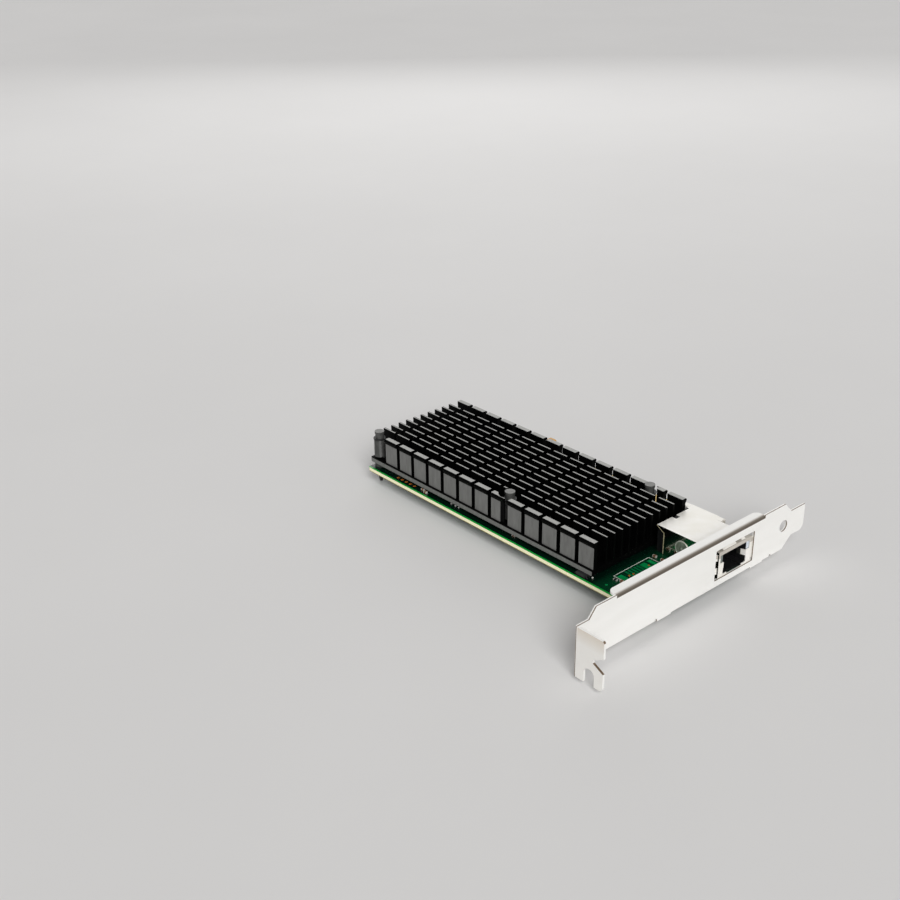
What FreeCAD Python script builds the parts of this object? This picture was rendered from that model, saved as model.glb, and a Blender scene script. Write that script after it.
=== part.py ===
import FreeCAD, Part
import math
import os
from FreeCAD import Vector

# Low-height network interface card on a full-height bracket.
# Origin: centre of the edge connector's key notch, at the lower edge of the
# contacts and on the board's component side.  +X runs to the bracket, +Y is
# the way the card plugs in, +Z stands up from the component side.  Sizes in mm.

# ---- board -----------------------------------------------------------------
board_thickness = 1.57
board_height = 68.9            # top edge to the lower edge of the contacts
board_reach = 94.9             # key centre to the board's free end
board_corner_radius = 1.2
tongue_height = 8.25           # the part that goes into the socket
tongue_corner_radius = 0.9
board_to_bracket = 0.3         # gap behind the bracket

# ---- edge connector --------------------------------------------------------
key_width = 1.9
key_depth = 7.4
near_contacts = 11             # on the bracket's side of the key
far_contacts = 38
contact_pitch = 1.0
contact_width = 0.7
contact_length = 5.6
contact_thickness = 0.05
contact_setback = 1.45         # clear of the bevel on the lower edge
key_to_contact = 1.5           # key centre to the nearest contact's centre
tongue_end_margin = 1.0        # last contact's centre to the tongue's end
bevel_height = 1.3
bevel_depth = 0.45

# ---- bracket ---------------------------------------------------------------
bracket_reach = 57.15          # key centre to the bracket's outer face
tab_to_contacts = 105.6        # screw tab's outer face to the contacts' edge
sheet = 0.86
bracket_length = 120.02
bracket_width = 18.42
bracket_drop = 1.92            # lower edge below the component side
narrow_step = 3.6              # how much lower the edge is beside the tab
narrow_length = 5.7
narrow_chamfer = 3.1
tab_depth = 11.43
tab_width = 18.42
tab_corner_radius = 0.8
tab_low_corner_radius = 1.5
fold_radius = 0.9
slot_width = 4.42
slot_centre = 5.7              # from the outer face, along the tab
slot_depth = 5.7
bay_outer_width = 5.3          # flared bay in the tab's outer edge
bay_inner_width = 1.25
bay_depth = 4.25
bay_centre_height = 3.7
tongue_width = 10.19
tongue_length = 8.4
tongue_drop = 4.1              # tongue's upper edge below the wide part's
tongue_lead = 4.1
tongue_lower_lead = 3.6
tongue_shoulder = 5.2
tongue_tip_radius = 2.4
tongue_hole_radius = 2.25
tongue_hole_inset = 12.7       # from the tongue's end
tongue_hole_height = 5.65      # above the tongue's lower edge
flange_start = 18.2            # from the screw tab
flange_length = 77.4
flange_depth = 4.2
flange_bend = 1.35
flange_end_radius = 2.4
relief_width = 1.0
relief_depth = 0.6
relief_margin = 1.6            # reliefs lie just past the board's edges

# ---- bracket ears and screws -----------------------------------------------
ear_length = 9.0
ear_width = 7.0
ear_end_radius = 1.5
ear_inset = 5.8                # ear's middle from the board's edge
ear_hole_setback = 5.2         # from the bracket's outer face
screw_radius = 1.45
screw_clearance = 0.15
screw_head_radius = 2.7
screw_head_height = 1.7
screw_recess_radius = 1.1
screw_recess_depth = 0.9
screw_tail = 0.6

# ---- heatsink --------------------------------------------------------------
base_height = 1.7              # underside above the board
base_thickness = 2.2
heatsink_height = 14.47        # fin tops above the board
heatsink_overhang = 0.25       # past the board's free end
heatsink_front_inset = 2.2     # from the board's top edge
heatsink_to_jack = 0.35        # gap to the jack's ledge
columns = 14
cross_cut = 1.88
thin_fins = 10
fin_pitch = 3.94
thin_fin = 0.9
thick_fin = 2.58
fin_side_gap = 4.24            # thick fin to the first thin fin
lip_overhang = 0.66            # outward lip on the thick fins
lip_chamfer = 0.6
lip_rim = 0.2
lip_slope = 1.3

# ---- push pins -------------------------------------------------------------
corner_pin_end_inset = 2.5     # from the heatsink's free end
corner_pin_front_inset = 2.7
front_pin_column = 8           # counted from the free end
front_pin_inset = 5.43
front_pin_front_inset = 5.1
back_pin_column = 12
back_pin_inset = 0.84
back_pin_back_inset = 2.9
front_pin_relief = 4.3         # round clearance in the fins
back_pin_relief = 3.1
pin_radius = 1.45
pin_clearance = 0.15
pin_head_radius = 1.95
pin_head_height = 1.0
pin_head_rise = 0.85           # head's top above the fins
pin_neck_radius = 1.75
pin_neck_height = 1.9
pin_shoulder_radius = 2.55
pin_shoulder_height = 0.45
pin_collar_radius = 2.3        # stands on the board, under the heatsink's base
barb_radius = 1.8
barb_length = 5.5
barb_tip_radius = 0.6
spring_radius = 2.4            # outside the coil
spring_wire = 0.55

# ---- controller under the heatsink -----------------------------------------
package_side = 25.0
package_thickness = 1.0
lid_side = 19.0
lid_thickness = 0.5
controller_x = -27.9
controller_y = -42.6

# ---- modular jack ----------------------------------------------------------
jack_centre = -25.7            # along Y
jack_width = 18.2
jack_height = 10.8
jack_setback = 0.3             # front behind the bracket's outer face
jack_length = 27.6
jack_wall = 0.3
jack_fit = 0.05                # housing inside the shield
nose_lift = 0.6                # the nose clears the cut-out's lower edge
nose_depth = 1.0
rear_cut_depth = 3.2           # sloped rear corners of the side walls
rear_cut_height = 2.3
rear_notch_depth = 1.9         # notch in the top's rear edge
rear_notch_width = 2.5
rear_notch_offset = 0.35       # from the jack's middle
ledge_width = 3.0
ledge_drop = 0.12
ledge_setback = 15.0           # from the jack's front
ledge_overrun = 1.2            # behind the main body
ledge_corner_radius = 2.2
port_half_width = 6.4
port_height = 4.75
port_floor = 1.45
port_upper_height = 3.2
port_side_margin = 0.6         # shield's frame beside the light windows
latch_half_width = 4.15
latch_depth = 0.7
latch_slot_half_width = 3.0
port_depth = 14.0
latch_reach = 10.0
boss_radius = 3.0
boss_rise = 0.15
boss_setback = 16.0
boss_height = 5.75
cutout_gap_front = 2.15        # cut-out's margins round the jack
cutout_gap_back = 1.0
cutout_gap_top = 1.7
cutout_floor = 0.5
cutout_radius = 0.5
finger_thickness = 0.2
finger_reach = 4.6
finger_bow_gap = 0.3           # bow's clearance from the cut-out
side_finger_width = 2.35
side_finger_heights = (3.45, 8.65)
top_finger_widths = (7.0, 1.9)
top_finger_centres = (-2.8, 4.75)
spring_tab_height = 5.0
spring_tab_width = 2.2
spring_tab_length = 3.2
spring_tab_lean = 0.9
wire_count = 8
wire_pitch = 1.02
wire_width = 0.4
wire_thickness = 0.25
wire_front = 2.4
wire_flat = 1.8
wire_reach = 9.0
wire_drop = 2.0
tail_rows = 2
tails_per_row = 5
tail_pitch = 2.54
tail_row_pitch = 2.54
tail_size = 0.5
tail_hole = 0.8
tail_length = 1.1              # below the board
tail_setback = 20.0
peg_radius = 1.25
peg_clearance = 0.1
peg_setback = 8.9
peg_spacing = 11.4
ground_tail_width = 1.2
ground_tail_slot = 1.6
ground_tail_setback = 12.5
light_depth = 6.0
light_fit = 0.1

# ---- small parts -----------------------------------------------------------
chip_length = 1.6
chip_width = 0.8
chip_height = 0.8
resistor_height = 0.5
flash_length = 5.0
flash_width = 4.0
flash_height = 1.25
flash_standoff = 0.1
flash_lead_pitch = 1.27
flash_lead_width = 0.42
flash_lead_reach = 1.0
flash_lead_thickness = 0.2
flash_from_bracket = 34.0      # chip's middle to the bracket's outer face
flash_edge_inset = 3.8
regulator_side = 5.0
regulator_height = 0.9
inductor_side = 6.6
inductor_height = 3.0
inductor_corner = 0.8
crystal_length = 3.2
crystal_width = 2.5
crystal_height = 0.8
tall_cap_length = 3.2
tall_cap_width = 3.0
tall_cap_height = 10.7
tall_cap_chamfer = 0.4

# ---- derived positions -----------------------------------------------------
board_top_edge = -board_height
board_end = bracket_reach - sheet - board_to_bracket
tab_face = -tab_to_contacts
bracket_low = -bracket_drop
bracket_high = bracket_low + bracket_width
bracket_inner = bracket_reach - sheet
base_top = base_height + base_thickness
heatsink_left = -board_reach - heatsink_overhang
heatsink_front = board_top_edge + heatsink_front_inset
fin_pack = (thin_fins - 1) * fin_pitch + thin_fin
heatsink_width = 2 * (thick_fin + fin_side_gap) + fin_pack
heatsink_back = heatsink_front + heatsink_width
jack_front = bracket_reach - jack_setback
jack_rear = jack_front - jack_length
jack_low_y = jack_centre - jack_width / 2
jack_high_y = jack_centre + jack_width / 2
heatsink_right = jack_rear - ledge_overrun - heatsink_to_jack
heatsink_length = heatsink_right - heatsink_left
column_pitch = (heatsink_length + cross_cut) / columns
tile_length = column_pitch - cross_cut
corner_pin = (heatsink_left + corner_pin_end_inset, heatsink_front + corner_pin_front_inset)
front_pin_x = heatsink_left + front_pin_column * column_pitch + front_pin_inset
back_pin_x = heatsink_left + back_pin_column * column_pitch + back_pin_inset
front_pin = (front_pin_x, heatsink_front + front_pin_front_inset)
back_pin = (back_pin_x, heatsink_back - back_pin_back_inset)
pins = (corner_pin, front_pin, back_pin)
pin_hole = pin_radius + pin_clearance
shoulder_top = heatsink_height + pin_head_rise - pin_head_height - pin_neck_height
shoulder_low = shoulder_top - pin_shoulder_height
port_upper_half_width = jack_width / 2 - jack_wall - port_side_margin
port_top = port_floor + port_height + port_upper_height
port_ceiling = port_floor + port_height
ear_middles = (board_top_edge + ear_inset, -tongue_height - ear_inset + 1.0)
ear_hole_x = bracket_reach - ear_hole_setback
flash_x = bracket_reach - flash_from_bracket
flash_y = board_top_edge + flash_edge_inset

# Parts along the board: (from the bracket's outer face, from the board's top edge)
capacitor_places = (
    (21.6, 9.1), (25.1, 30.4), (21.4, 30.3), (69.9, 4.0),
)
resistor_places = ((24.0, 8.5), (46.0, 56.6), (109.0, 58.2))
back_capacitor_places = (
    (40.0, 54.0), (43.5, 54.0), (47.0, 54.0), (66.0, 54.6), (82.0, 54.6), (98.5, 54.6),
)
inductor_places = ((58.5, 56.2), (74.0, 56.2), (90.0, 56.2))
regulator_places = ((50.8, 56.0), (66.3, 58.0), (82.2, 58.0))
tall_cap_place = (103.7, 57.3)

# Parts by the free end: (from the free end, from the board's top edge)
end_capacitor_places = (
    (31.5, 3.0), (33.9, 2.2),
    (12.0, 56.0), (16.0, 56.0), (28.0, 55.0), (32.0, 55.0), (36.0, 55.0), (40.0, 55.0),
)
crystal_place = (22.0, 55.6)
solder_side_rows = 4
solder_side_columns = 5
solder_side_pitch = 3.6


def box(x0, x1, y0, y1, z0, z1):
    """Block between two opposite corners."""
    return Part.makeBox(x1 - x0, y1 - y0, z1 - z0, Vector(x0, y0, z0))


def rod(x, y, z0, z1, radius):
    """Upright cylinder."""
    return Part.makeCylinder(radius, z1 - z0, Vector(x, y, z0))


def prism(points, travel):
    """Closed outline carried along a vector."""
    wire = Part.makePolygon(list(points) + [points[0]])
    return Part.Face(wire).extrude(travel)


def on_yz(x, outline):
    return [Vector(x, y, z) for y, z in outline]


def on_xz(y, outline):
    return [Vector(x, y, z) for x, z in outline]


def on_xy(z, outline):
    return [Vector(x, y, z) for x, y in outline]


def turned(x, y, outline):
    """Solid of revolution about an upright axis, from (radius, height) points."""
    face = Part.Face(Part.makePolygon([Vector(r, 0, z) for r, z in outline + [outline[0]]]))
    solid = face.revolve(Vector(0, 0, 0), Vector(0, 0, 1), 360)
    solid.translate(Vector(x, y, 0))
    return solid


def rounded(shape, radius, chosen):
    """Fillet the edges for which chosen(edge) holds."""
    edges = [edge for edge in shape.Edges if chosen(edge)]
    return shape.makeFillet(radius, edges)


def upright_at(x, y):
    """Test for an upright edge at a place in plan."""
    def test(edge):
        a, b = edge.Vertexes[0].Point, edge.Vertexes[-1].Point
        return (abs(a.x - x) < 0.01 and abs(b.x - x) < 0.01
                and abs(a.y - y) < 0.01 and abs(b.y - y) < 0.01)
    return test


def along_y_at(x, z):
    """Test for an edge along Y at a place in the XZ plane."""
    def test(edge):
        a, b = edge.Vertexes[0].Point, edge.Vertexes[-1].Point
        return (abs(a.x - x) < 0.01 and abs(b.x - x) < 0.01
                and abs(a.z - z) < 0.01 and abs(b.z - z) < 0.01)
    return test


def save(name, shape):
    shape.exportStep("parts/" + name + ".step")


def group(solids):
    return Part.makeCompound(solids)


def contact_middles():
    """Middles of all contacts along X."""
    near = [key_to_contact + i * contact_pitch for i in range(near_contacts)]
    far = [-key_to_contact - i * contact_pitch for i in range(far_contacts)]
    return near + far


def jack_tail_places():
    """Solder tails of the jack in plan."""
    first = jack_centre - (tails_per_row - 1) * tail_pitch / 2
    return [(jack_front - tail_setback - row * tail_row_pitch, first + i * tail_pitch)
            for row in range(tail_rows) for i in range(tails_per_row)]


def jack_peg_places():
    x = jack_front - peg_setback
    return [(x, jack_centre - peg_spacing / 2), (x, jack_centre + peg_spacing / 2)]


def ground_tail_places():
    x = jack_front - ground_tail_setback
    return [(x, jack_low_y + jack_wall / 2), (x, jack_high_y - jack_wall / 2)]


def centred_block(x, y, side, low, high):
    half = side / 2
    return box(x - half, x + half, y - half, y + half, low, high)


def from_bracket(place):
    """Plan position from (distance to the outer face, distance to the top edge)."""
    return bracket_reach - place[0], board_top_edge + place[1]


def from_free_end(place):
    """Plan position from (distance to the free end, distance to the top edge)."""
    return -board_reach + place[0], board_top_edge + place[1]


# ---- circuit board ---------------------------------------------------------
def make_board():
    tongue_right = key_to_contact + (near_contacts - 1) * contact_pitch + tongue_end_margin
    tongue_left = -key_to_contact - (far_contacts - 1) * contact_pitch - tongue_end_margin
    body = box(-board_reach, board_end, board_top_edge, -tongue_height, -board_thickness, 0)
    corners = [(-board_reach, board_top_edge), (-board_reach, -tongue_height),
               (board_end, board_top_edge), (board_end, -tongue_height)]
    for x, y in corners:
        body = rounded(body, board_corner_radius, upright_at(x, y))
    tongue = box(tongue_left, tongue_right, -tongue_height, 0, -board_thickness, 0)
    for x in (tongue_left, tongue_right):
        tongue = rounded(tongue, tongue_corner_radius, upright_at(x, 0))
    board = body.fuse(tongue).removeSplitter()
    cuts = [box(-key_width / 2, key_width / 2, -key_depth + key_width / 2, 1,
                -board_thickness - 1, 1)]
    cuts.append(rod(0, -key_depth + key_width / 2, -board_thickness - 1, 1, key_width / 2))
    for side in (0, 1):
        face = -side * board_thickness
        into = face - bevel_depth if side == 0 else face + bevel_depth
        wedge = on_yz(tongue_left - 1, [(-bevel_height, face), (1, face), (1, into), (0, into)])
        cuts.append(prism(wedge, Vector(tongue_right - tongue_left + 2, 0, 0)))
    through = [(x, y, pin_hole) for x, y in pins]
    through += [(ear_hole_x, y, screw_radius + screw_clearance) for y in ear_middles]
    through += [(x, y, peg_radius + peg_clearance) for x, y in jack_peg_places()]
    for x, y, radius in through:
        cuts.append(rod(x, y, -board_thickness - 1, 1, radius))
    for x, y in jack_tail_places():
        cuts.append(centred_block(x, y, tail_hole, -board_thickness - 1, 1))
    for x, y in ground_tail_places():
        cuts.append(box(x - ground_tail_slot / 2, x + ground_tail_slot / 2,
                        y - tail_hole / 2, y + tail_hole / 2, -board_thickness - 1, 1))
    return board.cut(cuts)


def make_contacts(low, high):
    """One row of gold contacts between two heights."""
    y1 = -contact_setback
    y0 = y1 - contact_length
    half = contact_width / 2
    return group([box(x - half, x + half, y0, y1, low, high) for x in contact_middles()])


# ---- bracket ---------------------------------------------------------------
def make_bracket():
    end = tab_face + bracket_length
    tongue_top = bracket_high - tongue_drop
    tongue_low = tongue_top - tongue_width
    wide_end = end - tongue_length
    narrow_high = bracket_high - narrow_step
    step_end = tab_face + narrow_length + narrow_chamfer
    outline = [
        (tab_face, bracket_low),
        (tab_face, narrow_high),
        (tab_face + narrow_length, narrow_high),
        (step_end, bracket_high),
        (wide_end - tongue_lead, bracket_high),
        (wide_end, tongue_top),
        (end, tongue_top),
        (end, tongue_low),
        (wide_end + tongue_lower_lead * 0.3, tongue_low),
        (wide_end - tongue_lower_lead, bracket_low + 0.3),
        (wide_end - tongue_shoulder, bracket_low),
    ]
    face = prism(on_yz(bracket_inner, outline), Vector(sheet, 0, 0))

    def tip(edge):
        a, b = edge.Vertexes[0].Point, edge.Vertexes[-1].Point
        return (abs(a.y - end) < 0.01 and abs(b.y - end) < 0.01
                and abs(a.z - tongue_low) < 0.01 and abs(b.z - tongue_low) < 0.01)
    face = rounded(face, tongue_tip_radius, tip)

    # Screw tab, folded outward at the end of the face.
    tab_high = narrow_high
    tab_low = tab_high - tab_width
    tab_out = bracket_reach + tab_depth
    tab = box(bracket_inner, tab_out, tab_face, tab_face + sheet, tab_low, tab_high)

    tab = rounded(tab, tab_corner_radius, along_y_at(tab_out, tab_high))
    tab = rounded(tab, tab_low_corner_radius, along_y_at(tab_out, tab_low))
    slot_x = bracket_reach + slot_centre
    slot_top = tab_low + slot_depth - slot_width / 2
    slot = box(slot_x - slot_width / 2, slot_x + slot_width / 2, tab_face - 1,
               tab_face + sheet + 1, tab_low - 1, slot_top)
    slot_round = Part.makeCylinder(slot_width / 2, sheet + 2,
                                   Vector(slot_x, tab_face - 1, slot_top), Vector(0, 1, 0))
    bay_x = tab_out - bay_depth
    bay_rise = bay_outer_width / 2 / bay_depth
    bay = prism(on_xz(tab_face - 1, [
        (bay_x, bay_centre_height - bay_inner_width / 2),
        (tab_out + 1, bay_centre_height - bay_outer_width / 2 - bay_rise),
        (tab_out + 1, bay_centre_height + bay_outer_width / 2 + bay_rise),
        (bay_x, bay_centre_height + bay_inner_width / 2),
    ]), Vector(0, sheet + 2, 0))
    tab = tab.cut([slot, slot_round, bay])

    # Stiffening flange, folded inward along the upper edge.
    y0 = tab_face + flange_start
    y1 = y0 + flange_length
    flange_in = bracket_reach - flange_depth
    bend_low = bracket_high - 2 * flange_bend
    face = face.cut(box(bracket_inner - 1, bracket_reach + 1, y0, y1, bend_low, bracket_high + 1))
    flange = box(flange_in, bracket_reach, y0, y1, bend_low, bracket_high)
    flange = flange.cut(box(flange_in - 1, bracket_inner, y0 - 1, y1 + 1, bend_low - 1,
                            bracket_high - sheet))
    flange = rounded(flange, flange_bend, along_y_at(bracket_reach, bracket_high))
    flange = rounded(flange, flange_end_radius, upright_at(flange_in, y0))
    flange = rounded(flange, flange_end_radius, upright_at(flange_in, y1))

    # Ears under the board, folded from the lower edge.
    ear_low = -board_thickness - sheet
    ears = []
    for y in ear_middles:
        ear = box(bracket_inner - ear_length, bracket_reach, y - ear_width / 2,
                  y + ear_width / 2, ear_low, -board_thickness)
        for side in (-1, 1):
            corner = upright_at(bracket_inner - ear_length, y + side * ear_width / 2)
            ear = rounded(ear, ear_end_radius, corner)
        ears.append(ear)

    body = face.fuse([tab, flange] + ears).removeSplitter()
    body = rounded(body, fold_radius, upright_at(bracket_inner, tab_face))

    cutout = box(bracket_inner - 1, bracket_reach + 1,
                 jack_low_y - cutout_gap_front, jack_high_y + cutout_gap_back,
                 cutout_floor, jack_height + cutout_gap_top)

    def across(edge):
        a, b = edge.Vertexes[0].Point, edge.Vertexes[-1].Point
        return abs(a.y - b.y) < 0.01 and abs(a.z - b.z) < 0.01
    cutout = rounded(cutout, cutout_radius, across)
    cuts = [cutout]
    cuts.append(Part.makeCylinder(
        tongue_hole_radius, sheet + 2,
        Vector(bracket_inner - 1, end - tongue_hole_inset, tongue_low + tongue_hole_height),
        Vector(1, 0, 0)))
    for y in (board_top_edge + relief_margin, -tongue_height + 2 * relief_margin):
        cuts.append(box(bracket_inner - 1, bracket_reach + 1, y - relief_width / 2,
                        y + relief_width / 2, bracket_low - 1, bracket_low + relief_depth))
    for y in ear_middles:
        cuts.append(rod(ear_hole_x, y, ear_low - 1, -board_thickness + 0.5,
                        screw_radius + screw_clearance / 3))
    return body.cut(cuts)


def make_screws():
    """Pan-head screws through the board into the ears."""
    solids = []
    low = -board_thickness - sheet - screw_tail
    for y in ear_middles:
        screw = turned(ear_hole_x, y, [
            (0, low), (screw_radius, low), (screw_radius, 0), (screw_head_radius, 0),
            (screw_head_radius, screw_head_height * 0.55),
            (screw_head_radius * 0.75, screw_head_height), (0, screw_head_height),
        ])
        points = []
        for i in range(6):
            angle = math.radians(60 * i)
            points.append(Vector(ear_hole_x + screw_recess_radius * math.cos(angle),
                                 y + screw_recess_radius * math.sin(angle),
                                 screw_head_height - screw_recess_depth))
        solids.append(screw.cut(prism(points, Vector(0, 0, screw_recess_depth + 1))))
    return group(solids)


# ---- heatsink --------------------------------------------------------------
def make_heatsink():
    """Finned extrusion along X, then cut across into rows of pins."""
    top = heatsink_height
    inner_front = heatsink_front + thick_fin
    inner_back = heatsink_back - thick_fin
    lip_top = top - lip_chamfer
    lip_low = lip_top - lip_rim
    slope_low = lip_low - lip_slope
    outline = [(heatsink_front, base_height), (heatsink_front, base_top),
               (heatsink_front + lip_overhang, base_top),
               (heatsink_front + lip_overhang, slope_low),
               (heatsink_front, lip_low), (heatsink_front, lip_top),
               (heatsink_front + lip_chamfer, top),
               (inner_front, top), (inner_front, base_top)]
    for i in range(thin_fins):
        y = inner_front + fin_side_gap + i * fin_pitch
        outline += [(y, base_top), (y, top), (y + thin_fin, top), (y + thin_fin, base_top)]
    outline += [(inner_back, base_top), (inner_back, top),
                (heatsink_back - lip_chamfer, top), (heatsink_back, lip_top),
                (heatsink_back, lip_low),
                (heatsink_back - lip_overhang, slope_low),
                (heatsink_back - lip_overhang, base_top),
                (heatsink_back, base_top), (heatsink_back, base_height)]
    body = prism(on_yz(heatsink_left, outline), Vector(heatsink_length, 0, 0))
    cuts = []
    for i in range(columns - 1):
        x = heatsink_left + i * column_pitch + tile_length
        cuts.append(box(x, x + cross_cut, heatsink_front - 1, heatsink_back + 1,
                        base_top, top + 1))
    # The corner pin stands where the first thick tile would be.
    cuts.append(box(heatsink_left - 1, heatsink_left + column_pitch, heatsink_front - 1,
                    inner_front + fin_side_gap / 2, base_top, top + 1))
    cuts.append(rod(front_pin[0], front_pin[1], base_top, top + 1, front_pin_relief))
    cuts.append(rod(back_pin[0], back_pin[1], base_top, top + 1, back_pin_relief))
    for x, y in pins:
        cuts.append(rod(x, y, base_height - 1, base_top + 1, pin_hole))
    return body.cut(cuts)


def make_pins():
    """Push pins: head, neck, spring shoulder, shank, collar and barbed tip."""
    head_top = heatsink_height + pin_head_rise
    head_low = head_top - pin_head_height
    under = -board_thickness
    tip = under - barb_length
    outline = [
        (0, tip), (barb_tip_radius, tip), (barb_radius, under), (pin_radius, under),
        (pin_radius, 0), (pin_collar_radius, 0), (pin_collar_radius, base_height),
        (pin_radius, base_height), (pin_radius, shoulder_low),
        (pin_shoulder_radius, shoulder_low),
        (pin_shoulder_radius, shoulder_top), (pin_neck_radius, shoulder_top),
        (pin_neck_radius, head_low), (pin_head_radius, head_low),
        (pin_head_radius, head_top), (0, head_top),
    ]
    return group([turned(x, y, outline) for x, y in pins])


def make_springs():
    """Close-wound springs, as sleeves from the base to the pins' shoulders."""
    solids = []
    for x, y in pins:
        sleeve = rod(x, y, base_top, shoulder_low, spring_radius)
        bore = rod(x, y, base_top - 1, shoulder_low + 1, spring_radius - spring_wire)
        solids.append(sleeve.cut(bore))
    return group(solids)


# ---- modular jack ----------------------------------------------------------
def make_shield():
    wall = jack_wall
    front = jack_front
    rear = jack_rear
    side = [(front - nose_depth, 0), (front - nose_depth, nose_lift), (front, nose_lift),
            (front, jack_height), (rear, jack_height), (rear, jack_height - wall),
            (rear + rear_cut_depth, jack_height - rear_cut_height),
            (rear + rear_cut_depth, 0)]
    shell = prism(on_xz(jack_low_y, side), Vector(0, jack_width, 0))
    ledge_top = jack_height - ledge_drop
    ledge_front = front - ledge_setback
    ledge_rear = rear - ledge_overrun
    ledge = box(ledge_rear, ledge_front, jack_high_y - wall, jack_high_y + ledge_width,
                0, ledge_top)
    ledge = rounded(ledge, ledge_corner_radius,
                    upright_at(ledge_front, jack_high_y + ledge_width))
    inside = box(rear - 1, front - wall, jack_low_y + wall, jack_high_y - wall,
                 -1, jack_height - wall)
    ledge_inside = box(ledge_rear - 1, ledge_front - wall, jack_high_y - wall - 1,
                       jack_high_y + ledge_width - wall, -1, ledge_top - wall)
    ledge_inside = rounded(ledge_inside, ledge_corner_radius - wall,
                           upright_at(ledge_front - wall, jack_high_y + ledge_width - wall))
    notch_y = jack_centre + rear_notch_offset
    notch = box(rear - 1, rear + rear_notch_depth, notch_y - rear_notch_width / 2,
                notch_y + rear_notch_width / 2, jack_height - wall - 1, jack_height + 1)
    port = port_shape(front - wall - 1, front + 1)
    shell = shell.fuse(ledge).cut([inside, ledge_inside, notch, port])

    # Round boss pressed out of the near side wall.
    boss = Part.makeCylinder(boss_radius, boss_rise + wall / 2,
                             Vector(front - boss_setback, jack_low_y - boss_rise, boss_height),
                             Vector(0, 1, 0))
    extras = [boss]

    # Grounding fingers that bow out to the edge of the bracket's cut-out.
    bow = cutout_gap_front - finger_bow_gap
    for z in side_finger_heights:
        leaf = finger_outline(front - 0.2, bow)
        points = [Vector(x, jack_low_y - y, z - side_finger_width / 2) for x, y in leaf]
        extras.append(prism(points, Vector(0, 0, side_finger_width)))
    bow = cutout_gap_top - finger_bow_gap
    for width, centre in zip(top_finger_widths, top_finger_centres):
        leaf = finger_outline(front - 0.2, bow)
        points = [Vector(x, jack_centre + centre - width / 2, jack_height + z) for x, z in leaf]
        extras.append(prism(points, Vector(0, width, 0)))

    # Side springs that press on the plug, folded in at the front.
    for sign in (-1, 1):
        root = jack_centre + sign * port_half_width
        tipped = root - sign * spring_tab_lean
        low = spring_tab_height - spring_tab_width / 2
        points = [
            Vector(front, root, low), Vector(front - wall, root, low),
            Vector(front - spring_tab_length, tipped, low),
            Vector(front - spring_tab_length, tipped - sign * finger_thickness, low),
            Vector(front, root - sign * finger_thickness, low),
        ]
        extras.append(prism(points, Vector(0, 0, spring_tab_width)))

    # Ground tails through the board.
    for x, y in ground_tail_places():
        extras.append(box(x - ground_tail_width / 2, x + ground_tail_width / 2, y - wall / 2,
                          y + wall / 2, -board_thickness - tail_length, 0.4))
    return shell.fuse(extras).removeSplitter()


def finger_outline(front, bow):
    """Side view of a leaf: (along the jack, out from the wall)."""
    back = front - finger_reach
    middle = (front + back) / 2
    thick = finger_thickness
    return [(front, -0.1), (front, 0.05), (middle + 0.5, bow), (middle - 0.5, bow),
            (back, 0.05), (back, -0.1), (back + 0.5, -0.1),
            (middle - 0.4, bow - thick), (middle + 0.4, bow - thick), (front - 0.5, -0.1)]


def port_shape(x0, x1):
    """The stepped plug opening as a solid between two depths."""
    floor = port_floor
    step = floor - latch_depth
    left = [(-latch_slot_half_width, -1), (-latch_slot_half_width, step),
            (-latch_half_width, step), (-latch_half_width, floor),
            (-port_half_width, floor), (-port_half_width, port_ceiling),
            (-port_upper_half_width, port_ceiling), (-port_upper_half_width, port_top)]
    right = [(-y, z) for y, z in reversed(left)]
    outline = [(jack_centre + y, z) for y, z in left + right]
    return prism(on_yz(x0, outline), Vector(x1 - x0, 0, 0))


def make_housing():
    """Moulded body inside the shield, with the plug cavity."""
    fit = jack_wall + jack_fit
    front = jack_front - fit
    side = [(front, 0), (front, jack_height - fit), (jack_rear + 0.2, jack_height - fit),
            (jack_rear + 0.2, 0)]
    body = prism(on_xz(jack_low_y + fit, side), Vector(0, jack_width - 2 * fit, 0))
    ledge_front = jack_front - ledge_setback - fit
    ledge_rear = jack_rear - ledge_overrun + 0.2
    ledge = box(ledge_rear, ledge_front, jack_high_y - fit - 0.5,
                jack_high_y + ledge_width - fit, 0, jack_height - ledge_drop - fit)
    ledge = rounded(ledge, ledge_corner_radius - fit,
                    upright_at(ledge_front, jack_high_y + ledge_width - fit))
    nose = box(jack_front - nose_depth - fit, jack_front + 1, jack_low_y - 1, jack_high_y + 1,
               -1, nose_lift + fit)
    cavity = plug_cavity()
    lights = []
    for sign in (-1, 1):
        lights.append(light_block(sign, 0))
    body = body.fuse(ledge).removeSplitter().cut([nose, cavity] + lights)
    pegs = [rod(x, y, -board_thickness, 0.5, peg_radius) for x, y in jack_peg_places()]
    return body.fuse(pegs).removeSplitter()


def plug_cavity():
    """Space for the plug, with a step for its latch."""
    x0 = jack_front - port_depth
    x1 = jack_front + 1
    main = box(x0, x1, jack_centre - port_half_width, jack_centre + port_half_width,
               port_floor, port_top)
    latch = box(jack_front - latch_reach, x1, jack_centre - latch_half_width,
                jack_centre + latch_half_width, port_floor - latch_depth, port_floor + 0.1)
    return main.fuse(latch)


def light_block(sign, shrink):
    """Indicator light pipe in an upper corner of the front."""
    inner = jack_centre + sign * (port_half_width + 0.1 + shrink)
    outer = jack_centre + sign * (port_upper_half_width - shrink)
    front = jack_front - jack_wall - jack_fit
    return box(front - light_depth + shrink, front + (1 if shrink == 0 else 0),
               min(inner, outer), max(inner, outer), port_ceiling + shrink, port_top - shrink)


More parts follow.
